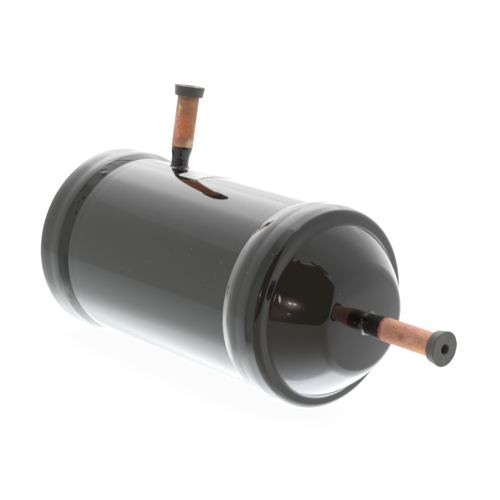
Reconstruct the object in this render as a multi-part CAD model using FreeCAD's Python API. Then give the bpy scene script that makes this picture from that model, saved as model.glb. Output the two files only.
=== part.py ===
import FreeCAD, Part
import math
import os

# Horizontal liquid receiver: a welded steel vessel with two brazed copper stubs, both closed by rubber plugs.
# Millimetres. The origin is on the shell axis, halfway between the two heads.
# +X points to the head that carries the inlet stub, +Z points along the outlet stub.

# Shell
shell_radius = 50.8
shell_wall = 2.0
shell_half_length = 86.0

# Heads, whose skirts lap over the ends of the shell
head_wall = 2.5
skirt_lap = 7.5
skirt_length = 9.8
skirt_edge_chamfer = 0.3
shoulder_radius = 3.0
ring_angle = 82.0
ring_length = 3.85
fillet_radius = 4.0
wall_start_angle = 33.0
wall_radius = 110.0
wall_end_angle = 45.0
knuckle_radius = 9.5
crown_angle = 77.5

# Seam welds on the shell, against the skirt edges of the heads
weld_length = 13.0
weld_toe_length = 4.6
weld_toe_height = 2.1
weld_end_length = 0.7
weld_crest_height = 2.75
weld_end_height = 2.3
weld_toe_bulge = 0.32
weld_top_bulge = 0.18

# Copper stubs, necked down at the foot; heights and depths are from the surface that each one enters
stub_radius = 6.0
stub_wall = 1.0
foot_radius = 5.0
foot_wall = 1.0
neck_length = 1.5
outlet_from_shell_end = 45.8
outlet_neck_height = 10.0
outlet_height = 39.9
outlet_foot_depth = 6.3
inlet_neck_height = 8.25
inlet_height = 44.45
inlet_foot_depth = 7.25

# Brazed fillets at the feet of the stubs
braze_width = 2.7
braze_height = 2.6
braze_hollow = 0.75
braze_depth = 1.4

# Dip tube, held in the foot of the outlet stub
dip_tube_wall = 0.8
dip_tube_top_height = 5.2
dip_tube_bottom_gap = 5.0
dip_tube_socket_clearance = 0.0

# Rubber plugs in the open ends of the stubs
plug_face_radius = 8.5
plug_back_radius = 8.0
plug_flange = 5.8
plug_back_round = 0.7
plug_face_round = 0.35
plug_stem_length = 12.0
plug_stem_lead = 0.8
plug_hole_radius = 2.6
plug_hole_depth = 10.0
plug_press_clearance = 0.0

# Blank label wrapped over the crest of the shell
label_from_outlet = 16.2
label_length = 15.5
label_thickness = 0.15
label_near_angle = 16.5
label_far_angle = 45.0

skirt_edge_x = shell_half_length - skirt_lap
band_radius = shell_radius + head_wall
outlet_x = outlet_from_shell_end - shell_half_length
label_start_x = outlet_x + label_from_outlet
foot_bore = foot_radius - foot_wall
stub_bore = stub_radius - stub_wall
axis_angle = 90.0
x_axis = FreeCAD.Vector(1, 0, 0)
z_axis = FreeCAD.Vector(0, 0, 1)


def section_point(along, out):
    """Point of a section drawn for turning about the X axis."""
    return FreeCAD.Vector(along, 0, out)


class Outline:
    """Pen that draws a smooth section of straight lines and arcs, seen along the axis of turning.

    The heading is the angle between the outward normal and the radius, in degrees.
    """

    def __init__(self, along, out, inset):
        self.along = along
        self.out = out - inset
        self.inset = inset
        self.angle = 0.0
        self.edges = []

    def point(self):
        return section_point(self.along, self.out)

    def line(self, length):
        start = self.point()
        turn = math.radians(self.angle)
        self.along += length * math.cos(turn)
        self.out -= length * math.sin(turn)
        self.edges.append(Part.LineSegment(start, self.point()).toShape())

    def bend(self, radius, end_angle, hollow=False):
        start = self.point()
        sign = -1.0 if hollow else 1.0
        own_radius = radius - sign * self.inset
        first = math.radians(self.angle)
        last = math.radians(end_angle)
        middle = (first + last) / 2
        centre_along = self.along - sign * own_radius * math.sin(first)
        centre_out = self.out - sign * own_radius * math.cos(first)
        through = section_point(centre_along + sign * own_radius * math.sin(middle),
                                centre_out + sign * own_radius * math.cos(middle))
        self.along = centre_along + sign * own_radius * math.sin(last)
        self.out = centre_out + sign * own_radius * math.cos(last)
        self.angle = end_angle
        self.edges.append(Part.Arc(start, through, self.point()).toShape())


def draw_head_side(inset, crown_radius=None):
    """One side of the head's wall, from the skirt edge to the axis.

    Gives the edges, the crown radius and where the outline meets the axis.
    """
    pen = Outline(skirt_edge_x, band_radius, inset)
    pen.line(skirt_length)
    pen.bend(shoulder_radius, ring_angle)
    pen.line(ring_length)
    pen.bend(fillet_radius, wall_start_angle, hollow=True)
    pen.bend(wall_radius, wall_end_angle)
    pen.bend(knuckle_radius, crown_angle)
    if crown_radius is None:
        crown_radius = pen.out / math.cos(math.radians(crown_angle))
    pen.bend(crown_radius, axis_angle)
    return pen.edges, crown_radius, pen.along


def turned(edges, centre, direction, degrees=360.0):
    wire = Part.Wire(Part.__sortEdges__(edges))
    face = Part.Face(wire)
    return face.revolve(centre, direction, degrees)


def line_between(first, second):
    return Part.LineSegment(first, second).toShape()


def closed_lines(points):
    edges = []
    for index, point in enumerate(points):
        edges.append(line_between(point, points[(index + 1) % len(points)]))
    return edges


def make_head():
    """Pressed head without its opening, on the +X side."""
    outer, crown_radius, outer_tip = draw_head_side(0.0)
    inner, crown_radius, inner_tip = draw_head_side(head_wall, crown_radius)
    edges = outer + inner
    edges.append(line_between(section_point(outer_tip, 0), section_point(inner_tip, 0)))
    edges.append(line_between(section_point(skirt_edge_x, band_radius),
                              section_point(skirt_edge_x, shell_radius)))
    head = turned(edges, FreeCAD.Vector(0, 0, 0), x_axis)
    corner = closed_lines([section_point(skirt_edge_x - 1, band_radius + 1),
                           section_point(skirt_edge_x - 1, band_radius - skirt_edge_chamfer - 1),
                           section_point(skirt_edge_x + skirt_edge_chamfer + 1, band_radius + 1)])
    head = head.cut(turned(corner, FreeCAD.Vector(0, 0, 0), x_axis))
    return head, crown_radius, outer_tip


def make_filled_crown(crown_radius, tip):
    """Solid ball under the crown, used to trim the inlet's fillet."""
    return Part.makeSphere(crown_radius, FreeCAD.Vector(tip - crown_radius, 0, 0))


def make_weld():
    """Seam weld on the +X side, resting on the shell and against the head's skirt edge."""
    weld_toe_x = skirt_edge_x - weld_length
    toe = section_point(weld_toe_x, shell_radius)
    knee = section_point(weld_toe_x + weld_toe_length, shell_radius + weld_toe_height)
    crest = section_point(skirt_edge_x - weld_end_length, shell_radius + weld_crest_height)
    end = section_point(skirt_edge_x, shell_radius + weld_end_height - skirt_edge_chamfer)
    root = section_point(skirt_edge_x, shell_radius)
    edges = [bulged(toe, knee, weld_toe_bulge), bulged(knee, crest, weld_top_bulge),
             line_between(crest, end), line_between(end, root), line_between(root, toe)]
    return turned(edges, FreeCAD.Vector(0, 0, 0), x_axis)


def bulged(first, second, height):
    """Arc between two section points that stands out from their chord by the height."""
    chord = second - first
    middle = (first + second) * 0.5
    side = FreeCAD.Vector(-chord.z, 0, chord.x)
    side.normalize()
    return Part.Arc(first, middle + side * height, second).toShape()


def make_stub(surface_at, foot_depth, neck_height, height):
    """Copper stub along +X that enters a surface, turned about the X axis."""
    foot_at = surface_at - foot_depth
    neck_at = surface_at + neck_height
    wide_at = neck_at + neck_length
    end_at = surface_at + height
    points = [section_point(foot_at, foot_bore), section_point(foot_at, foot_radius),
              section_point(neck_at, foot_radius), section_point(wide_at, stub_radius),
              section_point(end_at, stub_radius), section_point(end_at, stub_bore),
              section_point(wide_at, stub_bore), section_point(neck_at, foot_bore)]
    return turned(closed_lines(points), FreeCAD.Vector(0, 0, 0), x_axis)


def make_braze(surface_at):
    """Fillet along +X around a stub's foot, with its base reaching below the surface."""
    top = section_point(surface_at + braze_height, foot_radius)
    rim = section_point(surface_at, foot_radius + braze_width)
    rim_low = section_point(surface_at - braze_depth, foot_radius + braze_width)
    root = section_point(surface_at - braze_depth, foot_radius)
    edges = [bulged(top, rim, -braze_hollow), line_between(rim, rim_low),
             line_between(rim_low, root), line_between(root, top)]
    return turned(edges, FreeCAD.Vector(0, 0, 0), x_axis)


def make_plug(end_at):
    """Rubber plug along +X whose flange rests on the stub's end."""
    stem_radius = stub_bore - plug_press_clearance
    face_at = end_at + plug_flange
    tip_at = end_at - plug_stem_length
    floor_at = face_at - plug_hole_depth
    points = [section_point(tip_at, 0), section_point(tip_at, stem_radius - plug_stem_lead),
              section_point(tip_at + plug_stem_lead, stem_radius), section_point(end_at, stem_radius),
              section_point(end_at, plug_back_radius - plug_back_round),
              section_point(end_at + plug_back_round, plug_back_radius),
              section_point(face_at - plug_face_round, plug_face_radius),
              section_point(face_at, plug_face_radius - plug_face_round),
              section_point(face_at, plug_hole_radius), section_point(floor_at, plug_hole_radius),
              section_point(floor_at, 0)]
    return turned(closed_lines(points), FreeCAD.Vector(0, 0, 0), x_axis)


def stand_up(shape):
    """Turn a shape built along +X so that it stands along +Z at the outlet."""
    upright = shape.copy()
    upright.rotate(FreeCAD.Vector(0, 0, 0), FreeCAD.Vector(0, 1, 0), -90)
    upright.translate(FreeCAD.Vector(outlet_x, 0, 0))
    return upright


def face_other_way(shape):
    """Copy for the head at -X."""
    other = shape.copy()
    other.rotate(FreeCAD.Vector(0, 0, 0), z_axis, 180)
    return other


def make_shell():
    outer = Part.makeCylinder(shell_radius, 2 * shell_half_length,
                              FreeCAD.Vector(-shell_half_length, 0, 0), x_axis)
    inner = Part.makeCylinder(shell_radius - shell_wall, 2 * shell_half_length,
                              FreeCAD.Vector(-shell_half_length, 0, 0), x_axis)
    opening = Part.makeCylinder(foot_radius, shell_radius, FreeCAD.Vector(outlet_x, 0, shell_wall), z_axis)
    return outer.cut(inner).cut(opening)


def make_dip_tube():
    outer_radius = foot_bore - dip_tube_socket_clearance
    bottom_z = -(shell_radius - shell_wall - dip_tube_bottom_gap)
    length = shell_radius + dip_tube_top_height - bottom_z
    base = FreeCAD.Vector(outlet_x, 0, bottom_z)
    tube = Part.makeCylinder(outer_radius, length, base, z_axis)
    return tube.cut(Part.makeCylinder(outer_radius - dip_tube_wall, length, base, z_axis))


def make_label():
    points = [section_point(label_start_x, shell_radius),
              section_point(label_start_x + label_length, shell_radius),
              section_point(label_start_x + label_length, shell_radius + label_thickness),
              section_point(label_start_x, shell_radius + label_thickness)]
    sweep = label_near_angle + label_far_angle
    label = turned(closed_lines(points), FreeCAD.Vector(0, 0, 0), x_axis, sweep)
    label.rotate(FreeCAD.Vector(0, 0, 0), x_axis, -label_far_angle)
    return label


def single_solid(shape):
    """The one solid of a shape, facing outward."""
    solid = shape.Solids[0] if shape.Solids else Part.Solid(shape.Shells[0])
    if solid.Volume < 0:
        solid.reverse()
    return solid


front_head, crown_sphere_radius, crown_tip = make_head()
rear_head = face_other_way(front_head)
inlet_opening = Part.makeCylinder(foot_radius, 2 * crown_tip, FreeCAD.Vector(0, 0, 0), x_axis)
front_head = front_head.cut(inlet_opening)
front_weld = make_weld()
shell_filled = Part.makeCylinder(shell_radius, 2 * shell_half_length,
                                 FreeCAD.Vector(-shell_half_length, 0, 0), x_axis)

bodies = {
    "shell": make_shell(),
    "front_head": front_head,
    "rear_head": rear_head,
    "front_weld": front_weld,
    "rear_weld": face_other_way(front_weld),
    "outlet_stub": stand_up(make_stub(shell_radius, outlet_foot_depth, outlet_neck_height, outlet_height)),
    "inlet_stub": make_stub(crown_tip, inlet_foot_depth, inlet_neck_height, inlet_height),
    "outlet_braze": stand_up(make_braze(shell_radius)).cut(shell_filled),
    "inlet_braze": make_braze(crown_tip).cut(make_filled_crown(crown_sphere_radius, crown_tip)),
    "dip_tube": make_dip_tube(),
    "outlet_plug": stand_up(make_plug(shell_radius + outlet_height)),
    "inlet_plug": make_plug(crown_tip + inlet_height),
    "label": make_label(),
}

os.makedirs("parts", exist_ok=True)
for name, body in bodies.items():
    solid = single_solid(body)
    print(name, "solids", len(body.Solids), "valid", solid.isValid(), "volume", round(solid.Volume, 3),
          "box", [round(v, 3) for v in (solid.BoundBox.XMin, solid.BoundBox.XMax, solid.BoundBox.YMin,
                                        solid.BoundBox.YMax, solid.BoundBox.ZMin, solid.BoundBox.ZMax)])
    solid.exportStep(os.path.join("parts", name + ".step"))
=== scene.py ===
"""Looks of a horizontal liquid receiver: a gloss black welded vessel with two plugged copper stubs.

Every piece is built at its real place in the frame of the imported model, in metres. The shell lies along X,
the outlet stub stands along +Z and the inlet stub leaves the head at +X.
"""

import logging
import math
from dataclasses import dataclass, field
from enum import Enum
from typing import Any, Sequence

import bmesh
import bpy
import numpy as np
from mathutils import Matrix, Vector


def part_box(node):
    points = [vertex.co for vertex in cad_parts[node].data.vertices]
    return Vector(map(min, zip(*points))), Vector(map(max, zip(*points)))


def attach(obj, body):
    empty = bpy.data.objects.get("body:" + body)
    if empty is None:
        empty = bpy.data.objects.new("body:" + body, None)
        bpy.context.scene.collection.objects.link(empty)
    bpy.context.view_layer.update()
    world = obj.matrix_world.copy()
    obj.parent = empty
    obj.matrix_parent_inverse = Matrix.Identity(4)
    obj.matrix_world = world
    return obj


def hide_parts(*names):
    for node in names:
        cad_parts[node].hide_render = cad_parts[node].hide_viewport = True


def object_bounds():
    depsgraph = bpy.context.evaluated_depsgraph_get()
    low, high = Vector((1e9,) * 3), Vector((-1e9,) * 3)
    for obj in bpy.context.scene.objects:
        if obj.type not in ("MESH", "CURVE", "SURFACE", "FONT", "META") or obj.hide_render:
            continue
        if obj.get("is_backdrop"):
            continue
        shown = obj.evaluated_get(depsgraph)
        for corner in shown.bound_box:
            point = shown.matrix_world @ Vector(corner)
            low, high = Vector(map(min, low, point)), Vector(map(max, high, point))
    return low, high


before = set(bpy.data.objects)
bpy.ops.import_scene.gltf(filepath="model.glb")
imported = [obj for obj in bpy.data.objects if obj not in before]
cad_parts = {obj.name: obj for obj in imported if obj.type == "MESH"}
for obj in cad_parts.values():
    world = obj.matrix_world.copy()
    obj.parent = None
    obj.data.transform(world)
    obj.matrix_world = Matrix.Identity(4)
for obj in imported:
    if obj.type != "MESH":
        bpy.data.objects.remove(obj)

MM = 0.001
BODY = "root"
log = logging.getLogger("receiver")


class Slot(Enum):
    """Material slots of the record."""

    PAINT = "gloss_paint"
    BRAZE = "painted_braze"
    COPPER = "copper"
    RUBBER = "plug_rubber"
    LABEL = "label_film"


class End(Enum):
    """The two ends of the vessel, by the sign of X."""

    FRONT = 1
    REAR = -1


class Port(Enum):
    """The two copper stubs of the vessel."""

    OUTLET = "outlet"
    INLET = "inlet"


class Graph:
    """Adds nodes to one node tree."""

    def __init__(self, tree: bpy.types.NodeTree) -> None:
        """Keeps the tree and empties it.

        Args:
            tree: The shader, world or geometry node tree to fill.
        """
        self.tree = tree
        self.tree.nodes.clear()

    def node(self, kind: str, settings: dict[str, Any] | None = None,
             inputs: dict[str | int, Any] | None = None) -> bpy.types.Node:
        """Makes one node.

        Args:
            kind: Blender's type name of the node.
            settings: Properties of the node, set before its sockets; "stops" fills a colour ramp.
            inputs: Values or links of its sockets, by name or number.

        Returns:
            The new node.
        """
        made = self.tree.nodes.new(kind)
        for name, value in (settings or {}).items():
            if name == "stops":
                self._fill_ramp(made.color_ramp, value)
            else:
                setattr(made, name, value)
        for name, value in (inputs or {}).items():
            self.feed(made.inputs[name], value)
        return made

    def signal(self, kind: str, output: str | int = 0, settings: dict[str, Any] | None = None,
               inputs: dict[str | int, Any] | None = None) -> "Signal":
        """Makes one node and wraps one of its outputs.

        Args:
            kind: Blender's type name of the node.
            output: Name or number of the output that is wrapped.
            settings: Properties of the node.
            inputs: Values or links of its sockets.

        Returns:
            The wrapped output.
        """
        return Signal(self, self.node(kind, settings, inputs).outputs[output])

    def feed(self, socket: bpy.types.NodeSocket, value: Any) -> None:
        """Links a socket to a signal, or sets its value.

        Args:
            socket: The input socket.
            value: A signal, a socket or a plain value.
        """
        source = value.socket if isinstance(value, Signal) else value
        if isinstance(source, bpy.types.NodeSocket):
            self.tree.links.new(source, socket)
        else:
            socket.default_value = source

    def split(self, vector: Any) -> tuple["Signal", "Signal", "Signal"]:
        """The three parts of a vector."""
        made = self.node("ShaderNodeSeparateXYZ", {}, {0: vector})
        return tuple(Signal(self, part) for part in made.outputs)

    def blend(self, share: "Signal", under: bpy.types.Node, over: bpy.types.Node) -> bpy.types.Node:
        """Mix of two shaders, the second seen by this share."""
        return self.node("ShaderNodeMixShader", {}, {0: share, 1: under.outputs[0], 2: over.outputs[0]})

    @staticmethod
    def _fill_ramp(ramp: bpy.types.ColorRamp, stops: Sequence[tuple[float, Sequence[float]]]) -> None:
        """Gives a colour ramp its stops.

        Args:
            ramp: The ramp, with the two stops that it starts with.
            stops: Place and colour of each stop, in order.
        """
        while len(ramp.elements) < len(stops):
            ramp.elements.new(1.0)
        for element, (place, colour) in zip(ramp.elements, stops):
            element.position = place
            element.color = (*colour, 1.0)


@dataclass(frozen=True)
class Signal:
    """A socket with Python arithmetic: every operation adds a Math node."""

    graph: Graph
    socket: bpy.types.NodeSocket

    def _math(self, operation: str, *values: Any) -> "Signal":
        """Adds one Math node on these values."""
        return self.graph.signal("ShaderNodeMath", 0, {"operation": operation}, dict(enumerate(values)))

    def __add__(self, other: Any) -> "Signal":
        """Sum."""
        return self._math("ADD", self, other)

    def __radd__(self, other: Any) -> "Signal":
        """Sum, reflected."""
        return self._math("ADD", other, self)

    def __sub__(self, other: Any) -> "Signal":
        """Difference."""
        return self._math("SUBTRACT", self, other)

    def __rsub__(self, other: Any) -> "Signal":
        """Difference, reflected."""
        return self._math("SUBTRACT", other, self)

    def __mul__(self, other: Any) -> "Signal":
        """Product."""
        return self._math("MULTIPLY", self, other)

    def __rmul__(self, other: Any) -> "Signal":
        """Product, reflected."""
        return self._math("MULTIPLY", other, self)

    def __truediv__(self, other: Any) -> "Signal":
        """Quotient."""
        return self._math("DIVIDE", self, other)

    def __rtruediv__(self, other: Any) -> "Signal":
        """Quotient, reflected."""
        return self._math("DIVIDE", other, self)

    def __pow__(self, other: Any) -> "Signal":
        """Power."""
        return self._math("POWER", self, other)

    def __neg__(self) -> "Signal":
        """The same with the other sign."""
        return self._math("MULTIPLY", self, -1.0)

    def __abs__(self) -> "Signal":
        """Distance from nought."""
        return self._math("ABSOLUTE", self)

    def call(self, operation: str, *others: Any) -> "Signal":
        """Any other Math operation, with this signal as its first value."""
        return self._math(operation, self, *others)

    def ease(self, start: float, end: float) -> "Signal":
        """Smooth step from 0 at start to 1 at end; start may be the larger."""
        low, high = min(start, end), max(start, end)
        step = self.graph.signal("ShaderNodeMapRange", 0, {"interpolation_type": "SMOOTHSTEP"},
                                 {"Value": self, "From Min": low, "From Max": high})
        return step if end > start else 1.0 - step

    def mix(self, low: Sequence[float] | "Signal", high: Sequence[float] | "Signal") -> "Signal":
        """Colour from low at 0 to high at 1.

        Args:
            low: Colour where the signal is 0.
            high: Colour where the signal is 1.

        Returns:
            The mixed colour.
        """
        ends = [end if isinstance(end, Signal) else (*end, 1.0) for end in (low, high)]
        made = self.graph.node("ShaderNodeMix", {"data_type": "RGBA"}, {0: self, 6: ends[0], 7: ends[1]})
        return Signal(self.graph, made.outputs[2])


class MaterialGraph(Graph):
    """Node tree of one material, with the sources that the finishes share."""

    def __init__(self, name: str) -> None:
        """Makes the material and its output.

        Args:
            name: Name of the material.
        """
        self.material = bpy.data.materials.new(name)
        self.material.use_nodes = True
        super().__init__(self.material.node_tree)
        self.place = self.signal("ShaderNodeTexCoord", "Object")

    def noise(self, size: float, detail: float = 2.0, roughness: float = 0.5,
              stretch: Sequence[float] = (1, 1, 1), distortion: float = 0.0) -> Signal:
        """Noise between about 0.2 and 0.8.

        Args:
            size: Size of its largest blots, in metres.
            detail: Number of finer layers.
            roughness: Strength of the finer layers.
            stretch: How much longer the blots are along X, Y and Z.
            distortion: How much the blots are stirred.

        Returns:
            The noise.
        """
        scaled = self.signal("ShaderNodeMapping", 0, {},
                             {"Vector": self.place, "Scale": [1 / (size * longer) for longer in stretch]})
        return self.signal("ShaderNodeTexNoise", 0, {}, {"Vector": scaled, "Scale": 1.0, "Detail": detail,
                                                         "Roughness": roughness, "Distortion": distortion})

    def cells(self, size: float, feature: str = "F1") -> Signal:
        """Distance to the nearest of scattered points, 0 at each point and about 1 between them.

        Args:
            size: Mean spacing of the points, in metres.
            feature: Which distance of the Voronoi texture is used.

        Returns:
            The distance.
        """
        return self.signal("ShaderNodeTexVoronoi", "Distance", {"feature": feature},
                           {"Vector": self.place, "Scale": 1 / size})

    def axes(self) -> tuple[Signal, Signal, Signal]:
        """The place along X, Y and Z, in metres."""
        return self.split(self.place)

    def bump(self, height: Signal, depth: float, under: Signal | None = None) -> Signal:
        """Normal of a surface raised by a height.

        Args:
            height: Height from 0 to 1.
            depth: How many metres a height of 1 stands for.
            under: Normal of another bump that this one lies on.

        Returns:
            The normal.
        """
        inputs = {"Height": height, "Distance": depth, "Strength": 1.0}
        if under is not None:
            inputs["Normal"] = under
        return self.signal("ShaderNodeBump", 0, {}, inputs)

    def surface(self, **inputs: Any) -> bpy.types.Node:
        """Principled shader whose inputs are given with underscores for spaces."""
        named = {name.replace("_", " "): value for name, value in inputs.items()}
        return self.node("ShaderNodeBsdfPrincipled", {}, named)

    def finish(self, shader: bpy.types.Node) -> bpy.types.Material:
        """Links the shader to the output and returns the material."""
        self.node("ShaderNodeOutputMaterial", {}, {"Surface": shader.outputs[0]})
        return self.material


@dataclass(frozen=True)
class Enamel:
    """Gloss black enamel, sprayed over steel and brazing."""

    black: tuple[float, float, float] = (0.0080, 0.0078, 0.0074)
    haze: tuple[float, float, float] = (0.0130, 0.0128, 0.0122)
    roughness: float = 0.035
    smudge: float = 0.05
    coat_roughness: float = 0.02
    peel_size: float = 1.6 * MM
    peel_depth: float = 0.0035 * MM
    flow_size: float = 16.0 * MM
    flow_depth: float = 0.03 * MM

    def layer(self, graph: MaterialGraph) -> bpy.types.Node:
        """Adds the shader of the enamel to a tree.

        Args:
            graph: The tree of the material that is painted.

        Returns:
            The shader.
        """
        smudges = graph.noise(22 * MM, 4, 0.6).ease(0.52, 0.78)
        dust = graph.noise(3 * MM, 3, 0.7).ease(0.45, 0.85)
        flow = graph.bump(graph.noise(self.flow_size, 1), self.flow_depth)
        peel = graph.bump(graph.noise(self.peel_size, 1), self.peel_depth, flow)
        return graph.surface(
            Base_Color=(smudges * 0.5 + dust * 0.5).mix(self.black, self.haze),
            Roughness=self.roughness + smudges * self.smudge,
            Coat_Weight=1.0, Coat_Roughness=self.coat_roughness, Normal=peel)

    def build(self, name: str = "black_enamel") -> bpy.types.Material:
        """Makes the material."""
        graph = MaterialGraph(name)
        return graph.finish(self.layer(graph))


# Enamel that the brazing's heat has dulled
BAKED_ENAMEL = Enamel(black=(0.022, 0.021, 0.0195), haze=(0.030, 0.029, 0.027), roughness=0.10)


@dataclass(frozen=True)
class Tint:
    """A soft patch of colour on a tube, placed along the tube and across its near side, in metres."""

    along: float
    across: float
    tall: float
    wide: float
    colour: tuple[float, float, float]
    strength: float = 0.9


@dataclass(frozen=True)
class HeatTintedCopper:
    """Bare drawn copper, coloured by the brazing flame and by the painted shadows among its tints, and
    painted black up to its neck.
    """

    tube: tuple[float, float, float] = (0.84, 0.44, 0.285)
    brown: tuple[float, float, float] = (0.42, 0.17, 0.10)
    rose: tuple[float, float, float] = (0.74, 0.32, 0.245)
    pale: tuple[float, float, float] = (0.95, 0.72, 0.54)
    scorch: tuple[float, float, float] = (0.20, 0.035, 0.022)
    roughness: float = 0.42
    metallic: float = 0.2
    ragged: float = 0.3 * MM
    scorched: float = 0.12
    scorch_width: float = 2.2 * MM
    stir: float = 5.0 * MM
    grain_depth: float = 0.012 * MM
    outlet_place: float = -40.2 * MM
    near_side: tuple[float, float] = (0.695, 0.719)

    def build(self, name: str, port: Port, paint_edge: float,
              tints: Sequence[Tint] = ()) -> bpy.types.Material:
        """Makes the material of one stub.

        Args:
            name: Name of the material.
            port: Which stub it is for.
            paint_edge: Where the paint ends along the stub, in metres.
            tints: Patches of colour left by the flame, and patches of painted shadow.

        Returns:
            The material.
        """
        graph = MaterialGraph(name)
        x, y, z = graph.axes()
        along = z if port is Port.OUTLET else x
        near_x, near_y = self.near_side
        across = (x - self.outlet_place) * near_x + y * near_y if port is Port.OUTLET else z
        cloud = graph.noise(5 * MM, 5, 0.62, distortion=0.4)
        fine = graph.noise(1.1 * MM, 4, 0.75)
        stir = (cloud - 0.5) * self.stir
        colour = (cloud.ease(0.42, 0.62) * 0.55).mix(self.tube, self.rose)
        # The tints lay on the flame's colours and the painted shadow under the plug
        for spot in tints:
            up = (along - spot.along + stir) / spot.tall
            aside = (across - spot.across - stir) / spot.wide
            apart = up ** 2 + aside ** 2 + (fine - 0.5) * 0.4
            colour = (apart.ease(2.3, 0.0) * spot.strength).mix(colour, spot.colour)
        colour = (fine.ease(0.50, 0.64) * 0.55).mix(colour, self.brown)
        colour = (graph.noise(0.8 * MM, 3, 0.7).ease(0.56, 0.70) * 0.6).mix(colour, self.pale)
        tongues = graph.noise(6 * MM, 2, 0.5) * (4 * self.ragged)
        edge = along - tongues + graph.noise(1.2 * MM, 2) * self.ragged + 1.4 * self.ragged
        scorched = edge.ease(paint_edge + self.scorch_width, paint_edge) * self.scorched
        colour = scorched.mix(colour, self.scorch)
        drawn = graph.noise(0.5 * MM, 3, 0.6, (12, 1, 1) if port is Port.INLET else (1, 1, 12))
        metal = graph.surface(Base_Color=colour, Metallic=self.metallic,
                              Roughness=self.roughness + fine * 0.25,
                              Normal=graph.bump(fine + drawn * 0.5, self.grain_depth))
        bare = edge.ease(paint_edge - 0.06 * MM, paint_edge + 0.12 * MM)
        return graph.finish(graph.blend(bare, BAKED_ENAMEL.layer(graph), metal))


# Colours that the flame left on the copper, and the colour of the painted shadow under the plug
GOLD = (0.46, 0.215, 0.085)
SALMON = (0.98, 0.44, 0.29)
ORANGE = (0.92, 0.25, 0.08)
BRIGHT = (1.0, 0.48, 0.20)
PLUM = (0.38, 0.18, 0.16)
STRAW = (0.95, 0.78, 0.52)
# Painted shadow: dark brown where the plug shades the top of the outlet tube
PAINTED_SHADOW = (0.22, 0.13, 0.09)
PINK = (0.78, 0.33, 0.27)


def flame(along: float, across: float, tall: float, wide: float, colour: tuple[float, float, float],
          strength: float = 0.9) -> Tint:
    """A tint whose lengths are given in millimetres: a flame's colour, and for one patch a painted shadow.
    """
    return Tint(along * MM, across * MM, tall * MM, wide * MM, colour, strength)


# The flame's colours, and a painted shadow under the outlet's plug, in their places on the near side of each
# tube
FLAME_TINTS_AND_SHADOW = {
    Port.OUTLET: (
        flame(84, 1, 9, 7, GOLD, 0.75), flame(72, -4.5, 9, 3, SALMON, 0.9),
        flame(71.5, 3.2, 5, 1.6, GOLD, 0.8), flame(73.5, 0.2, 6.5, 2.4, ORANGE),
        flame(66, 1, 2.2, 4.5, PLUM, 0.6), flame(64.6, 4.2, 2.6, 1.8, STRAW, 0.8),
        flame(84.5, -3.8, 1.6, 0.7, STRAW), flame(81.5, -4.4, 1.8, 0.6, STRAW),
        # The last outlet patch is a painted shadow just under the plug
        flame(87.5, 3, 2, 1.8, BRIGHT, 0.3), flame(90.4, 0, 1.5, 14, PAINTED_SHADOW, 0.6)),
    Port.INLET: (
        flame(130, 0, 4.5, 7, PINK, 0.8), flame(140, 1, 6, 3, GOLD, 0.45),
        flame(144, 0.4, 1.6, 1.4, PLUM, 0.7), flame(147, 3.5, 6, 1.8, PINK, 0.8),
        flame(156, -3, 4.5, 1.8, BRIGHT, 0.85), flame(155, 1.8, 2.5, 1.8, PLUM, 0.35),
        flame(136, -3.4, 5, 1.6, PINK, 0.8)),
}


@dataclass(frozen=True)
class MouldedRubber:
    """Matt dark grey rubber with a fine grain and pale dust."""

    grey: tuple[float, float, float] = (0.088, 0.088, 0.084)
    dust: tuple[float, float, float] = (0.15, 0.15, 0.145)
    roughness: float = 0.36
    sheen: float = 0.6

    def build(self, name: str = "grey_rubber") -> bpy.types.Material:
        """Makes the material."""
        graph = MaterialGraph(name)
        grain = graph.noise(0.7 * MM, 4, 0.7)
        blots = graph.noise(4 * MM, 3, 0.6).ease(0.45, 0.75)
        specks = graph.cells(1.9 * MM).ease(0.12, 0.05)
        colour = (blots * 0.35 + grain * 0.2 + specks * 0.4).mix(self.grey, self.dust)
        return graph.finish(graph.surface(Base_Color=colour, Roughness=self.roughness + grain * 0.16,
                                          Sheen_Weight=self.sheen, Normal=graph.bump(grain, 0.02 * MM)))


@dataclass(frozen=True)
class LabelFilm:
    """Blank white self-adhesive film with a satin face."""

    white: tuple[float, float, float] = (0.97, 0.98, 0.99)
    grey: tuple[float, float, float] = (0.90, 0.92, 0.94)
    roughness: float = 0.32

    def build(self, name: str = "white_film") -> bpy.types.Material:
        """Makes the material."""
        graph = MaterialGraph(name)
        fibre = graph.noise(0.8 * MM, 3, 0.6)
        cockle = graph.noise(6 * MM, 2, 0.5)
        colour = (cockle.ease(0.45, 0.75) * 0.6 + fibre * 0.2).mix(self.white, self.grey)
        return graph.finish(graph.surface(Base_Color=colour, Roughness=self.roughness + fibre * 0.1,
                                          Normal=graph.bump(cockle + fibre * 0.05, 0.12 * MM)))


@dataclass(frozen=True)
class PaintDust:
    """Pale dust that settled in the wet paint."""

    tan: tuple[float, float, float] = (0.42, 0.38, 0.30)
    grey: tuple[float, float, float] = (0.30, 0.31, 0.31)

    def build(self, name: str = "paint_dust") -> bpy.types.Material:
        """Makes the material."""
        graph = MaterialGraph(name)
        tone = graph.noise(9 * MM, 1)
        return graph.finish(graph.surface(Base_Color=tone.ease(0.45, 0.55).mix(self.tan, self.grey),
                                          Roughness=0.3 + tone * 0.2,
                                          Normal=graph.bump(graph.noise(0.2 * MM, 2), 0.01 * MM)))


@dataclass(frozen=True)
class Stroke:
    """One stretch of an outline: an arc that ends at its heading, or a straight line where it has none."""

    size: float
    steps: int
    heading: float | None = None
    hollow: bool = False


def line(length: float, steps: int) -> Stroke:
    """A straight stroke, its length in millimetres."""
    return Stroke(length * MM, steps)


def arc(radius: float, heading: float, steps: int) -> Stroke:
    """A stroke that bulges out, its radius in millimetres."""
    return Stroke(radius * MM, steps, heading)


def dip(radius: float, heading: float, steps: int) -> Stroke:
    """A stroke that curves in towards the axis, its radius in millimetres."""
    return Stroke(radius * MM, steps, heading, hollow=True)


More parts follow.
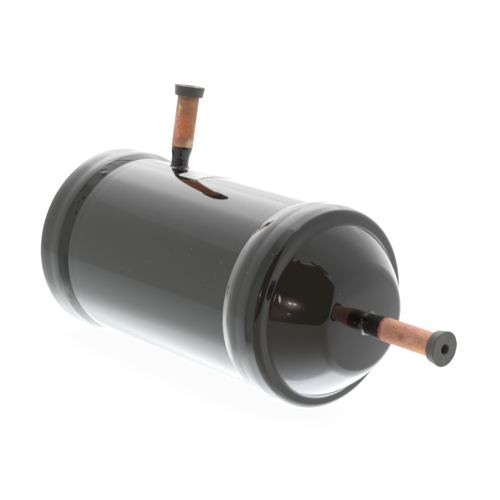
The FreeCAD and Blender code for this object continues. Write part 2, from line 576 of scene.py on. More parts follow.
@dataclass
class Pen:
    """Draws half of a turned section in steps, seen along the axis of turning.

    The heading is the angle between the outward normal and the radius, in degrees.
    """

    along: float
    out: float
    heading: float = 0.0
    points: list[tuple[float, float]] = field(default_factory=list)

    def __post_init__(self) -> None:
        """Puts the pen down at its start."""
        self.points.append((self.along, self.out))

    def line(self, length: float, steps: int) -> None:
        """Draws a straight line along the heading.

        Args:
            length: Its length.
            steps: How many steps it is drawn in.
        """
        turn = math.radians(self.heading)
        for _ in range(steps):
            self.along += length / steps * math.cos(turn)
            self.out -= length / steps * math.sin(turn)
            self.points.append((self.along, self.out))

    def arc(self, radius: float, heading: float, steps: int, hollow: bool = False) -> None:
        """Draws an arc that ends at another heading.

        Args:
            radius: Radius of the arc.
            heading: Heading at its end, in degrees.
            steps: How many steps it is drawn in.
            hollow: True where the arc curves in towards the axis.
        """
        sign = -1.0 if hollow else 1.0
        first = math.radians(self.heading)
        centre_along = self.along - sign * radius * math.sin(first)
        centre_out = self.out - sign * radius * math.cos(first)
        for step in range(1, steps + 1):
            turn = first + (math.radians(heading) - first) * step / steps
            self.along = centre_along + sign * radius * math.sin(turn)
            self.out = centre_out + sign * radius * math.cos(turn)
            self.points.append((self.along, self.out))
        self.heading = heading

    def draw(self, strokes: Sequence[Stroke], inset: float = 0.0, coarser: int = 1) -> None:
        """Draws several strokes, one after another.

        Args:
            strokes: The strokes, with their sizes on the outer face.
            inset: How far inside the outer face the pen runs.
            coarser: How many times fewer steps are drawn.
        """
        for stroke in strokes:
            steps = max(1, stroke.steps // coarser)
            if stroke.heading is None:
                self.line(stroke.size, steps)
            else:
                radius = stroke.size + inset if stroke.hollow else stroke.size - inset
                self.arc(radius, stroke.heading, steps, stroke.hollow)


def bulged(first: tuple[float, float], last: tuple[float, float], height: float,
           steps: int) -> list[tuple[float, float]]:
    """Points of an arc between two points that stands out from their chord.

    Args:
        first: Start of the arc, along and out.
        last: End of the arc.
        height: How far its middle stands out, or in where it is negative.
        steps: How many steps it is drawn in.

    Returns:
        Its points, both ends among them.
    """
    start, end = np.array(first), np.array(last)
    chord = end - start
    half = float(np.linalg.norm(chord)) / 2
    side = np.array((-chord[1], chord[0])) / (2 * half)
    radius = (half * half + height * height) / (2 * height)
    centre = (start + end) / 2 + side * (height - radius)
    reach = math.asin(half / abs(radius))
    points = []
    for step in range(steps + 1):
        turn = reach * (2 * step / steps - 1)
        points.append(tuple(centre + side * radius * math.cos(turn) + chord / (2 * half) * abs(radius)
                            * math.sin(turn)))
    return points


def straight(first: tuple[float, float], last: tuple[float, float],
             steps: int) -> list[tuple[float, float]]:
    """Points of a straight line, both ends among them."""
    return [(first[0] + (last[0] - first[0]) * i / steps, first[1] + (last[1] - first[1]) * i / steps)
            for i in range(steps + 1)]


def quarter(centre: tuple[float, float], start: tuple[float, float], end: tuple[float, float],
            steps: int) -> list[tuple[float, float]]:
    """Points of a quarter round, both ends among them.

    Args:
        centre: Its centre, along and out.
        start: From the centre to its first point.
        end: From the centre to its last point.
        steps: How many steps it is drawn in.

    Returns:
        The points.
    """
    return [tuple(centre[i] + start[i] * math.cos(turn) + end[i] * math.sin(turn) for i in (0, 1))
            for turn in np.linspace(0, math.pi / 2, steps + 1)]


def joined(*runs: Sequence[tuple[float, float]]) -> list[tuple[float, float]]:
    """One outline from several runs of points, without the doubled points between them."""
    points = list(runs[0])
    for run in runs[1:]:
        for point in run:
            if math.dist(point, points[-1]) > 1e-7:
                points.append(point)
    return points


@dataclass(frozen=True)
class Lump:
    """A run, sag or blob on a turned surface.

    The angle is from the top of the section, in degrees, and grows towards -Y.
    """

    along: float
    angle: float
    length: float
    width: float
    height: float
    slant: float = 0.0


def placed(name: str, data: bpy.types.ID) -> bpy.types.Object:
    """An object with this data, at the origin and in the scene."""
    thing = bpy.data.objects.new(name, data)
    bpy.context.scene.collection.objects.link(thing)
    return thing


@dataclass
class TurnedPiece:
    """A piece whose section is turned about an axis, built flat and then wrapped by Geometry Nodes."""

    name: str
    outline: list[tuple[float, float]]
    stations: int = 360
    lumps: Sequence[Lump] = ()
    ripple_height: float = 0.0
    ripple_size: float = 10.0 * MM
    seed: float = 1.0
    tilt: Vector = field(default_factory=lambda: Vector((0, 0, 0)))
    place: Vector = field(default_factory=lambda: Vector((0, 0, 0)))
    sharp_angle: float = 32.0

    def flat_sheet(self) -> bpy.types.Mesh:
        """Mesh of the unrolled section: X runs along the axis, Y once around it and Z outwards.

        Returns:
            The mesh, with the outward direction and the lift of the lumps kept on its points.
        """
        points = np.array(self.outline)
        rows = len(points)
        steps = np.diff(points, axis=0)
        steps /= np.linalg.norm(steps, axis=1)[:, None]
        across = np.stack([-steps[:, 1], steps[:, 0]], 1)
        facing = np.vstack([across[:1], across[:-1] + across[1:], across[-1:]])
        facing /= np.linalg.norm(facing, axis=1)[:, None]
        turns = np.linspace(0.0, 1.0, self.stations + 1)
        sheet = np.empty((rows, self.stations + 1, 3))
        sheet[:, :, 0] = points[:, :1]
        sheet[:, :, 1] = turns[None]
        sheet[:, :, 2] = points[:, 1:]
        lift = np.zeros((rows, self.stations + 1))
        for mound in self.lumps:
            apart = (turns[None] * 360 - mound.angle + 180) % 360 - 180
            girth = np.radians(apart) * np.maximum(points[:, 1:], 1e-4)
            run = points[:, :1] - mound.along - mound.slant * girth
            lift += mound.height * np.exp(-(run / mound.length) ** 2 - (girth / mound.width) ** 2)
        corner = np.arange(rows * (self.stations + 1)).reshape(rows, -1)
        faces = np.stack([corner[:-1, :-1], corner[:-1, 1:], corner[1:, 1:], corner[1:, :-1]], -1)
        mesh = bpy.data.meshes.new(self.name + "_flat")
        mesh.from_pydata(sheet.reshape(-1, 3).tolist(), [], faces.reshape(-1, 4).tolist())
        normals = np.zeros((rows, self.stations + 1, 3))
        normals[:, :, 0] = facing[:, :1]
        normals[:, :, 2] = facing[:, 1:]
        mesh.attributes.new("facing", "FLOAT_VECTOR", "POINT").data.foreach_set("vector", normals.ravel())
        mesh.attributes.new("lift", "FLOAT", "POINT").data.foreach_set("value", lift.ravel())
        return mesh

    def build(self, material: bpy.types.Material) -> bpy.types.Object:
        """Wraps the sheet about its axis and makes the piece.

        Args:
            material: Finish of the piece.

        Returns:
            The finished object, at the origin.
        """
        rough = placed(self.name + "_flat", self.flat_sheet())
        wrap = WrapTree.shared()
        wrap.apply(rough, {"Ripple Height": self.ripple_height, "Ripple Size": self.ripple_size,
                           "Seed": self.seed, "Tilt": self.tilt, "Place": self.place, "Material": material})
        piece = finished_mesh(rough, self.name)
        piece.data.set_sharp_from_angle(angle=math.radians(self.sharp_angle))
        return piece


def finished_mesh(rough: bpy.types.Object, name: str) -> bpy.types.Object:
    """Turns an object with a Geometry Nodes modifier into a plain mesh whose faces point outwards.

    Args:
        rough: The object with its modifier; it is deleted.
        name: Name of the finished piece.

    Returns:
        The finished object, at the origin.
    """
    bpy.context.view_layer.update()
    graph = bpy.context.evaluated_depsgraph_get()
    mesh = bpy.data.meshes.new_from_object(rough.evaluated_get(graph), depsgraph=graph)
    bpy.data.objects.remove(rough)
    edit = bmesh.new()
    edit.from_mesh(mesh)
    bmesh.ops.dissolve_degenerate(edit, dist=1e-7, edges=edit.edges)
    if edit.calc_volume(signed=True) < 0:
        bmesh.ops.reverse_faces(edit, faces=edit.faces)
    edit.to_mesh(mesh)
    edit.free()
    mesh.name = name
    return placed(name, mesh)


class GeometryTree(Graph):
    """A Geometry Nodes tree with named inputs."""

    def __init__(self, name: str, inputs: dict[str, tuple[str, Any]]) -> None:
        """Makes the tree and its inputs.

        Args:
            name: Name of the tree.
            inputs: Type and default of each input, by its name.
        """
        super().__init__(bpy.data.node_groups.new(name, "GeometryNodeTree"))
        self.tree.interface.new_socket("Geometry", in_out="INPUT", socket_type="NodeSocketGeometry")
        self.identifiers: dict[str, str] = {}
        for label, (kind, default) in inputs.items():
            socket = self.tree.interface.new_socket(label, in_out="INPUT", socket_type=kind)
            if default is not None:
                socket.default_value = default
            self.identifiers[label] = socket.identifier
        self.tree.interface.new_socket("Geometry", in_out="OUTPUT", socket_type="NodeSocketGeometry")
        self.entry = self.node("NodeGroupInput")

    def given(self, label: str) -> Signal:
        """The input with this name."""
        return Signal(self, self.entry.outputs[label])

    def stored(self, name: str, kind: str) -> Signal:
        """A value kept on the points under this name."""
        made = self.node("GeometryNodeInputNamedAttribute", {"data_type": kind}, {"Name": name})
        return Signal(self, next(out for out in made.outputs if out.enabled and out.name == "Attribute"))

    def close(self, geometry: Any, material: Signal) -> None:
        """Ends the tree: real meshes, smooth shading and the material."""
        real = self.signal("GeometryNodeRealizeInstances", 0, {}, {"Geometry": geometry})
        smooth = self.signal("GeometryNodeSetShadeSmooth", 0, {}, {"Geometry": real})
        painted = self.signal("GeometryNodeSetMaterial", 0, {}, {"Geometry": smooth, "Material": material})
        self.node("NodeGroupOutput", {}, {"Geometry": painted})

    def apply(self, target: bpy.types.Object, values: dict[str, Any]) -> None:
        """Gives an object a modifier with this tree.

        Args:
            target: The object.
            values: Value of each input, by its name.
        """
        modifier = target.modifiers.new("Shape", "NODES")
        modifier.node_group = self.tree
        for label, value in values.items():
            modifier[self.identifiers[label]] = value


class WrapTree(GeometryTree):
    """Wraps a flat sheet once around an axis, with its lumps and a fine ripple."""

    _shared: "WrapTree | None" = None
    merge_distance: float = 0.002 * MM

    def __init__(self) -> None:
        """Builds the tree."""
        super().__init__("wrap_round_axis", {
            "Ripple Height": ("NodeSocketFloat", 0.0), "Ripple Size": ("NodeSocketFloat", 10 * MM),
            "Seed": ("NodeSocketFloat", 1.0), "Tilt": ("NodeSocketVector", None),
            "Place": ("NodeSocketVector", None), "Material": ("NodeSocketMaterial", None)})
        along, turn, out = self.split(self.signal("GeometryNodeInputPosition"))
        facing = self.split(self.stored("facing", "FLOAT_VECTOR"))
        angle = turn * (2 * math.pi)
        sine, cosine = angle.call("SINE"), angle.call("COSINE")
        base = self.signal("ShaderNodeCombineXYZ", 0, {}, {0: along, 1: -(out * sine), 2: out * cosine})
        ripple = self.signal("ShaderNodeTexNoise", 0, {"noise_dimensions": "4D"},
                             {"Vector": base, "W": self.given("Seed"), "Detail": 1.0,
                              "Scale": 1.0 / self.given("Ripple Size")})
        lift = self.stored("lift", "FLOAT") + (ripple - 0.75) * self.given("Ripple Height")
        raised = out + lift * facing[2]
        wrapped = self.signal("ShaderNodeCombineXYZ", 0, {},
                              {0: along + lift * facing[0], 1: -(raised * sine), 2: raised * cosine})
        shaped = self.signal("GeometryNodeSetPosition", 0, {}, {"Geometry": self.given("Geometry"),
                                                                "Position": wrapped})
        stood = self.signal("GeometryNodeTransform", 0, {},
                            {"Geometry": shaped, "Rotation": self.given("Tilt"),
                             "Translation": self.given("Place")})
        closed = self.signal("GeometryNodeMergeByDistance", 0, {},
                             {"Geometry": stood, "Distance": self.merge_distance})
        self.close(closed, self.given("Material"))

    @classmethod
    def shared(cls) -> "WrapTree":
        """The one tree that all turned pieces use."""
        if cls._shared is None:
            cls._shared = cls()
        return cls._shared


class DustTree(GeometryTree):
    """Scatters small flat nibs over the outside of the painted pieces."""

    breadth: float = 0.8

    def __init__(self) -> None:
        """Builds the tree."""
        super().__init__("scatter_nibs", {
            "Nibs per m2": ("NodeSocketFloat", 900.0), "Smallest": ("NodeSocketFloat", 0.1 * MM),
            "Largest": ("NodeSocketFloat", 0.3 * MM), "Flatness": ("NodeSocketFloat", 0.5),
            "Seed": ("NodeSocketInt", 1), "Material": ("NodeSocketMaterial", None)})
        spread = self.node("GeometryNodeDistributePointsOnFaces", {},
                           {"Mesh": self.given("Geometry"), "Selection": self.stored("outside", "BOOLEAN"),
                            "Density": self.given("Nibs per m2"), "Seed": self.given("Seed")})
        size = self.node("FunctionNodeRandomValue", {"data_type": "FLOAT"}, {"Seed": self.given("Seed")})
        self.feed(size.inputs[2], self.given("Smallest"))
        self.feed(size.inputs[3], self.given("Largest"))
        radius = Signal(self, size.outputs[1])
        scale = self.signal("ShaderNodeCombineXYZ", 0, {}, {0: radius, 1: radius * self.breadth,
                                                            2: radius * self.given("Flatness")})
        ball = self.signal("GeometryNodeMeshIcoSphere", 0, {}, {"Radius": 1.0, "Subdivisions": 2})
        nibs = self.signal("GeometryNodeInstanceOnPoints", 0, {},
                           {"Points": Signal(self, spread.outputs["Points"]), "Instance": ball,
                            "Rotation": Signal(self, spread.outputs["Rotation"]), "Scale": scale})
        self.close(nibs, self.given("Material"))


def adopt(piece: bpy.types.Object, slot: Slot, *nodes: str) -> bpy.types.Object:
    """Lets a finished piece ride on the body and puts it in place of CAD nodes.

    Args:
        piece: The finished piece.
        slot: Material slot that it takes its finish from; not used.
        nodes: CAD nodes that it stands for.

    Returns:
        The piece.
    """
    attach(piece, BODY)
    if nodes:
        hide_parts(*nodes)
    log.info("%s: %d faces", piece.name, len(piece.data.polygons))
    return piece


# Heading of the flat ring that each head's shoulder ends in, in degrees
RING_ANGLE = 82.0

# Each skirt from its edge to that ring, and the heading that it starts with
SKIRT_HEADINGS = {End.FRONT: -6.0, End.REAR: 3.0}
SKIRTS = {
    End.FRONT: (arc(33.0, 3.5, 14), arc(9.0, 13.5, 6), line(2.97, 4), arc(4.1, RING_ANGLE, 20)),
    End.REAR: (dip(14.0, -2.0, 6), line(3.24, 4), arc(33.5, 6.0, 12), line(0.8, 1),
               arc(3.2, RING_ANGLE, 20)),
}

# Each weld from its toe, under the paint, to the skirt, and how far the toe runs out on the shell
TOE_RUNS = {End.FRONT: 0.75 * MM, End.REAR: 0.3 * MM}
WELDS = {
    End.FRONT: (dip(1.4, -19.0, 5), line(3.3, 13), arc(30.0, -14.0, 10), arc(16.6, -3.5, 12),
                arc(22.9, 2.5, 8), dip(10.3, -7.0, 8)),
    End.REAR: (dip(1.2, -24.0, 5), arc(60.0, -19.4, 19), arc(6.0, -7.0, 10), arc(25.4, 0.0, 12),
               arc(23.0, 3.0, 8), line(2.3, 4)),
}

# Place, width and height of the rings that rolling left in the shell's skin
ROLLING_RINGS = ((-59.5 * MM, 1.2 * MM, -0.055 * MM), (59.5 * MM, 1.8 * MM, -0.02 * MM))


@dataclass
class Vessel:
    """The painted steel body: shell, two pressed heads and two seam welds."""

    enamel: bpy.types.Material
    shell_wall: float = 2.0 * MM
    head_wall: float = 2.5 * MM
    front_skirt_inset: float = 0.03 * MM
    ring_depth: float = 4.58 * MM
    fillet_radius: float = 2.5 * MM
    fillet_run: float = 0.68 * MM
    wall_start: float = 33.0
    wall_radius: float = 110.0 * MM
    wall_end: float = 45.0
    knuckle_radius: float = 9.5 * MM
    crown_angle: float = 77.5
    toe_depth: float = 0.04 * MM
    weld_root_depth: float = 0.5 * MM
    ripple_height: float = 0.075 * MM
    ripple_size: float = 13.0 * MM
    stations: int = 512
    foot_radius: float = 5.0 * MM
    pieces: list[bpy.types.Object] = field(default_factory=list)

    def __post_init__(self) -> None:
        """Reads the main sizes from the frame."""
        low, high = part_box("shell")
        self.half_length = high.x
        self.shell_radius = max(high.y, high.z, -low.y, -low.z)
        self.skirt_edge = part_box("front_head")[0].x
        self.band_radius = self.shell_radius + self.head_wall
        self.weld_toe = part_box("front_weld")[0].x
        self.skirt_out = {End.FRONT: self.band_radius - self.front_skirt_inset, End.REAR: self.band_radius}

    def build(self) -> list[bpy.types.Object]:
        """Builds the shell, the heads and the welds.

        Returns:
            The finished pieces.
        """
        self.pieces.append(self.build_shell())
        for end in End:
            self.pieces.append(self.build_weld(end))
            self.pieces.append(self.build_head(end))
        return self.pieces

    def side(self, end: End) -> Vector:
        """Turn that takes a piece built for +X to this end."""
        return Vector((0, 0, 0 if end is End.FRONT else math.pi))

    def build_shell(self) -> bpy.types.Object:
        """The rolled shell, with the faint rings that rolling left near its ends."""
        reach, outer = self.half_length, self.shell_radius
        inner = outer - self.shell_wall
        skin = straight((-reach, outer), (reach, outer), 150)
        lining = straight((reach, inner), (-reach, inner), 8)
        skin = [(along, out + sum(height * math.exp(-((along - at) / width) ** 2)
                                  for at, width, height in ROLLING_RINGS)) for along, out in skin]
        outline = joined(skin, lining, [(-reach, outer)])
        piece = TurnedPiece("painted_shell", outline, stations=self.stations, lumps=SHELL_LUMPS,
                            ripple_height=0.05 * MM, ripple_size=60 * MM, seed=3.0,
                            sharp_angle=40).build(self.enamel)
        return adopt(piece, Slot.PAINT, "shell")

    def head_side(self, end: End, inset: float,
                  crown_radius: float | None) -> tuple[list[tuple[float, float]], float]:
        """One side of the head's wall, from the skirt edge to the axis.

        Args:
            end: Which end it closes.
            inset: How far it lies inside the outer face.
            crown_radius: Radius of the outer face's crown, once it is known.

        Returns:
            The points and the crown radius.
        """
        coarser = 1 if inset == 0.0 else 3
        pen = Pen(self.skirt_edge, self.skirt_out[end] - inset, SKIRT_HEADINGS[end])
        pen.draw(SKIRTS[end], inset, coarser)
        turn = math.radians(RING_ANGLE)
        drop = pen.out - (self.shell_radius - self.ring_depth - inset * math.cos(turn))
        pen.line(drop / math.sin(turn), 6 // coarser)
        pen.arc(self.fillet_radius + inset, self.wall_start, 14 // coarser, hollow=True)
        pen.line(self.fillet_run, 2)
        pen.arc(self.wall_radius - inset, self.wall_end, 32 // coarser)
        pen.arc(self.knuckle_radius - inset, self.crown_angle, 16 // coarser)
        if crown_radius is None:
            crown_radius = pen.out / math.cos(math.radians(self.crown_angle))
        pen.arc(crown_radius - inset, 90.0, 30 // coarser)
        return pen.points, crown_radius

    def build_head(self, end: End) -> bpy.types.Object:
        """A pressed head: skirt band, rounded shoulder, hollow fillet, steep wall and flat crown.

        Args:
            end: Which end it closes.

        Returns:
            The finished piece.
        """
        outer, crown_radius = self.head_side(end, 0.0, None)
        inner, _ = self.head_side(end, self.head_wall, crown_radius)
        log.info("%s head: tip at %.5f", end.name, outer[-1][0])
        inner = list(reversed(inner))
        if end is End.FRONT:
            outer = [point for point in outer if point[1] > self.foot_radius]
            inner = [point for point in inner if point[1] > self.foot_radius]
            outer.append((outer[-1][0], self.foot_radius))
            inner.insert(0, (inner[0][0], self.foot_radius))
            outline = joined(inner, outer, [inner[0]])
        else:
            outline = joined(inner, outer)
        name = f"{end.name.lower()}_head"
        return adopt(self.turn(name, outline, end), Slot.PAINT, name)

    def turn(self, name: str, outline: list[tuple[float, float]], end: End) -> bpy.types.Object:
        """Turns a head or a weld, with the ripple and the lumps that run on across their seam.

        Args:
            name: Node that it stands for.
            outline: Its section, drawn for the front end.
            end: Which end it is at.

        Returns:
            The piece.
        """
        return TurnedPiece("painted_" + name, outline, stations=self.stations, lumps=END_LUMPS[end],
                           ripple_height=self.ripple_height, ripple_size=self.ripple_size,
                           seed=9.0 + end.value, tilt=self.side(end), sharp_angle=50).build(self.enamel)

    def build_weld(self, end: End) -> bpy.types.Object:
        """A seam weld under the paint, from its toe on the shell to the skirt edge.

        Args:
            end: Which end it joins.

        Returns:
            The finished piece.
        """
        pen = Pen(self.weld_toe - TOE_RUNS[end], self.shell_radius - self.toe_depth)
        pen.draw(WELDS[end])
        skin = fitted(pen.points, (self.skirt_edge, self.skirt_out[end]))
        depth = self.shell_radius - self.weld_root_depth
        outline = joined(skin, straight((self.skirt_edge, depth), (skin[0][0], depth), 4), [skin[0]])
        name = f"{end.name.lower()}_weld"
        return adopt(self.turn(name, outline, end), Slot.PAINT, name)


def fitted(points: Sequence[tuple[float, float]], last: tuple[float, float]) -> list[tuple[float, float]]:
    """Stretches a run of points a little, from its first point, so that it ends at a given point.

    Args:
        points: The run.
        last: Where it has to end.

    Returns:
        The stretched run.
    """
    start = points[0]
    scales = [(last[i] - start[i]) / (points[-1][i] - start[i]) for i in (0, 1)]
    log.info("seam outline stretched by %.3f and %.3f", *scales)
    return [(start[0] + (along - start[0]) * scales[0], start[1] + (out - start[1]) * scales[1])
            for along, out in points]


def lump(along: float, angle: float, length: float, width: float, height: float,
         slant: float = 0.0) -> Lump:
    """A lump whose lengths are given in millimetres."""
    return Lump(along * MM, angle, length * MM, width * MM, height * MM, slant)


# Runs and blobs under the paint; those at the rear end are turned round with it, so their angle is too
SHELL_LUMPS = (lump(-56.2, 111, 0.9, 0.9, 0.06), lump(-54.6, 112.5, 0.6, 0.8, -0.05),
               lump(-57.4, 109, 0.6, 0.7, -0.04))
END_LUMPS = {
    End.FRONT: (
        lump(66.0, 45.5, 0.40, 1.8, 0.34, -0.30), lump(67.2, 42.5, 0.6, 1.4, -0.16, -0.4),
        lump(68.0, 38.2, 0.5, 1.8, 0.28, -0.70), lump(69.4, 36.0, 0.5, 1.2, -0.12, -0.6),
        lump(66.2, 81.5, 0.5, 1.6, 0.16, 0.2), lump(67.6, 83.5, 0.6, 1.3, -0.12),
        lump(66.4, 60.0, 0.6, 3.0, 0.06), lump(69.0, 100.0, 1.6, 4.0, 0.06),
        lump(67.0, 118.0, 1.2, 3.0, 0.07), lump(87.4, 38.0, 0.8, 1.8, 0.12, -0.5),
        lump(88.8, 36.0, 0.6, 1.4, -0.10), lump(94.8, 49.5, 0.5, 1.1, 0.10, 0.3),
        lump(96.0, 46.3, 0.9, 0.5, 0.09), lump(99.4, 45.3, 1.6, 0.5, 0.08),
        lump(103.0, 44.2, 1.6, 0.5, 0.06), lump(107.0, 44.8, 2.0, 0.5, 0.05),
        lump(96.8, 43.0, 0.6, 0.8, -0.07), lump(95.9, 36.0, 0.5, 0.9, 0.07, 0.6),
        lump(98.8, 37.2, 0.5, 0.7, -0.06), lump(98.3, 33.8, 0.7, 0.4, 0.05)),
    End.REAR: (
        lump(67.6, -37.2, 0.7, 0.9, 0.42), lump(68.9, -35.2, 0.5, 1.6, -0.26, -0.5),
        lump(66.6, -40.0, 0.4, 1.6, -0.16), lump(71.2, -28.6, 0.6, 2.2, 0.26, -0.45),
        lump(69.4, -24.0, 0.6, 2.4, -0.18, -0.4), lump(67.8, -17.0, 0.7, 2.6, 0.18, -0.3),
        lump(67.4, -57.8, 0.6, 1.2, 0.20), lump(67.8, -61.8, 0.6, 1.0, -0.14),
        lump(67.4, -68.7, 0.5, 1.2, 0.14), lump(71.0, -132.0, 1.2, 2.6, 0.14, -0.3),
        lump(70.6, -121.0, 1.4, 3.5, -0.12, -0.2), lump(69.6, -125.5, 0.8, 1.6, 0.10),
        lump(68.0, -100.0, 1.2, 4.0, 0.06)),
}


@dataclass
class Stub:
    """One copper stub with its brazed fillet and its rubber plug."""

    port: Port
    copper: bpy.types.Material
    enamel: bpy.types.Material
    rubber: bpy.types.Material
    foot_radius: float = 5.0 * MM
    stub_radius: float = 6.0 * MM
    wall: float = 1.0 * MM
    waist_radius: float = 4.9 * MM
    waist_height: float = 4.5 * MM
    neck_height: float = 11.6 * MM
    braze_width: float = 2.7 * MM
    braze_height: float = 2.6 * MM
    braze_hollow: float = 1.0 * MM
    braze_sink: float = 0.28 * MM
    braze_depth: float = 0.8 * MM
    crown_radius: float = 115.4 * MM
    plug_face_radius: float = 8.5 * MM
    plug_back_radius: float = 8.0 * MM
    plug_back_round: float = 0.7 * MM
    plug_face_round: float = 0.35 * MM
    plug_hole_radius: float = 2.6 * MM
    plug_hole_depth: float = 10.0 * MM
    plug_stem_lead: float = 0.8 * MM

    def __post_init__(self) -> None:
        """Reads the places of the stub's pieces from the frame."""
        self.axis = 2 if self.port is Port.OUTLET else 0
        self.foot, self.end = self.reach("stub")
        self.braze_top = self.reach("braze")[1]
        self.surface = self.braze_top - self.braze_height
        self.tip, self.face = self.reach("plug")
        low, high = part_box(f"{self.port.value}_stub")
        if self.port is Port.OUTLET:
            self.tilt = Vector((0, -math.pi / 2, 0))
            self.place = Vector(((low.x + high.x) / 2, 0, 0))
        else:
            self.tilt = Vector((0, 0, 0))
            self.place = Vector((0, 0, 0))

    def reach(self, part: str) -> tuple[float, float]:
        """Lowest and highest place of a node along the stub's axis."""
        low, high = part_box(f"{self.port.value}_{part}")
        return low[self.axis], high[self.axis]

    def build(self) -> list[bpy.types.Object]:
        """Builds the tube, the fillet and the plug.

        Returns:
            The finished pieces.
        """
        return [self.build_tube(), self.build_braze(), self.build_plug()]

    def turned(self, part: str, outline: list[tuple[float, float]], **settings: Any) -> TurnedPiece:
        """A turned piece on this stub's axis."""
        name = f"{self.port.value}_{part}"
        return TurnedPiece(name, outline, tilt=self.tilt, place=self.place, **settings)

    def build_tube(self) -> bpy.types.Object:
        """The copper tube, necked down where it enters the vessel."""
        waist, neck = self.surface + self.waist_height, self.surface + self.neck_height
        swell = [(waist + (neck - waist) * part, self.waist_radius + (self.stub_radius - self.waist_radius)
                  * part * part * (3 - 2 * part)) for part in np.linspace(0, 1, 17)]
        outer = joined(straight((self.foot, self.waist_radius), swell[0], 20), swell,
                       straight(swell[-1], (self.end, self.stub_radius), 60))
        bore = [(along, out - self.wall) for along, out in reversed(outer[::4] + outer[-1:])]
        outline = joined(outer, bore, [outer[0]])
        piece = self.turned("tube", outline, stations=128, ripple_height=0.05 * MM, ripple_size=6 * MM,
                            seed=2.0, sharp_angle=50).build(self.copper)
        return adopt(piece, Slot.COPPER, f"{self.port.value}_stub")

    def build_braze(self) -> bpy.types.Object:
        """The fillet of brazing metal, seated on the curve of the vessel."""
        top = (self.surface + self.braze_height, self.waist_radius)
        rim = (self.surface - self.braze_sink, self.foot_radius + self.braze_width)
        root = (self.surface - self.braze_depth, rim[1])
        base = (self.surface - self.braze_depth, self.waist_radius)
        outline = joined(bulged(top, rim, self.braze_hollow, 24), [root, base],
                         straight(base, top, 4))
        piece = self.turned("fillet", outline, stations=160, lumps=BRAZE_LUMPS[self.port],
                            ripple_height=0.22 * MM, ripple_size=3.4 * MM, seed=4.0,
                            sharp_angle=60).build(self.enamel)
        self.seat(piece.data)
        return adopt(piece, Slot.BRAZE, f"{self.port.value}_braze")

    def seat(self, mesh: bpy.types.Mesh) -> None:
        """Lowers a flat-footed mesh onto the curved surface of the vessel.

        Args:
            mesh: The mesh, in the frame.
        """
        points = np.empty(len(mesh.vertices) * 3)
        mesh.vertices.foreach_get("co", points)
        points = points.reshape(-1, 3)
        if self.port is Port.OUTLET:
            radius = self.surface
            apart = points[:, 1] ** 2
        else:
            radius = self.crown_radius
            apart = points[:, 1] ** 2 + points[:, 2] ** 2
        points[:, self.axis] += np.sqrt(radius ** 2 - apart) - radius
        mesh.vertices.foreach_set("co", points.ravel())
        mesh.update()

    def build_plug(self) -> bpy.types.Object:
        """The rubber plug: a flange on the stub's end and a stem in its bore."""
        bore = self.stub_radius - self.wall
        back, face = self.plug_back_round, self.plug_face_round
        lead = self.plug_stem_lead
        stem = [(self.tip, 0.0), (self.tip, bore - lead), (self.tip + lead, bore), (self.end, bore)]
        under = straight((self.end, bore), (self.end, self.plug_back_radius - back), 6)
        corner = quarter((self.end + back, self.plug_back_radius - back), (-back, 0.0), (0.0, back), 6)
        side = straight(corner[-1], (self.face - face, self.plug_face_radius), 14)
        rim = quarter((self.face - face, self.plug_face_radius - face), (0.0, face), (face, 0.0), 5)
        top = straight(rim[-1], (self.face, self.plug_hole_radius + face), 14)
        lip = quarter((self.face - face, self.plug_hole_radius + face), (face, 0.0), (0.0, -face), 5)
        floor = self.face - self.plug_hole_depth
        hole = straight(lip[-1], (floor, self.plug_hole_radius), 8)
        outline = joined(stem, under, corner, side, rim, top, lip, hole, [(floor, 0.0)])
        piece = self.turned("rubber_plug", outline, stations=160, lumps=PLUG_LUMPS[self.port],
                            ripple_height=0.14 * MM, ripple_size=4 * MM, seed=6.0,
                            sharp_angle=50).build(self.rubber)
        return adopt(piece, Slot.RUBBER, f"{self.port.value}_plug")


# Sizes in which the inlet stub and its plug differ from the outlet's
STUB_SIZES = {
    Port.OUTLET: {},
    Port.INLET: {"plug_face_radius": 8.8 * MM, "waist_radius": 5.4 * MM, "waist_height": 3.5 * MM,
                 "neck_height": 10.0 * MM},
}

# Drips on the brazing and flaws in the moulded plugs, by distance along the vessel's axes
BRAZE_LUMPS = {
    Port.OUTLET: (
        lump(51.6, 200, 1.0, 1.6, 0.3), lump(52.2, 320, 0.9, 1.3, 0.25),
        lump(51.4, 100, 0.8, 1.8, 0.25), lump(51.8, 20, 0.8, 1.0, 0.2)),
    Port.INLET: (
        lump(117.2, 62, 0.8, 1.2, 0.28), lump(117.0, 175, 0.9, 1.4, 0.35),
        lump(117.8, 120, 0.6, 1.0, -0.2), lump(117.0, 20, 0.8, 1.2, 0.2),
        lump(117.4, 330, 0.8, 1.2, 0.25)),
}
PLUG_LUMPS = {
    Port.OUTLET: (
        lump(95.8, 250, 0.7, 1.2, -0.18), lump(96.2, 70, 0.5, 1.0, -0.12)),
    Port.INLET: (
        lump(165.9, 176, 0.6, 1.0, 0.30), lump(166.4, 262, 0.6, 0.7, -0.3),
        lump(166.4, 300, 0.6, 0.8, -0.25), lump(166.5, 230, 0.5, 0.6, -0.2),
        lump(166.3, 20, 0.6, 1.0, -0.15), lump(165.5, 120, 0.8, 1.5, -0.15)),
}


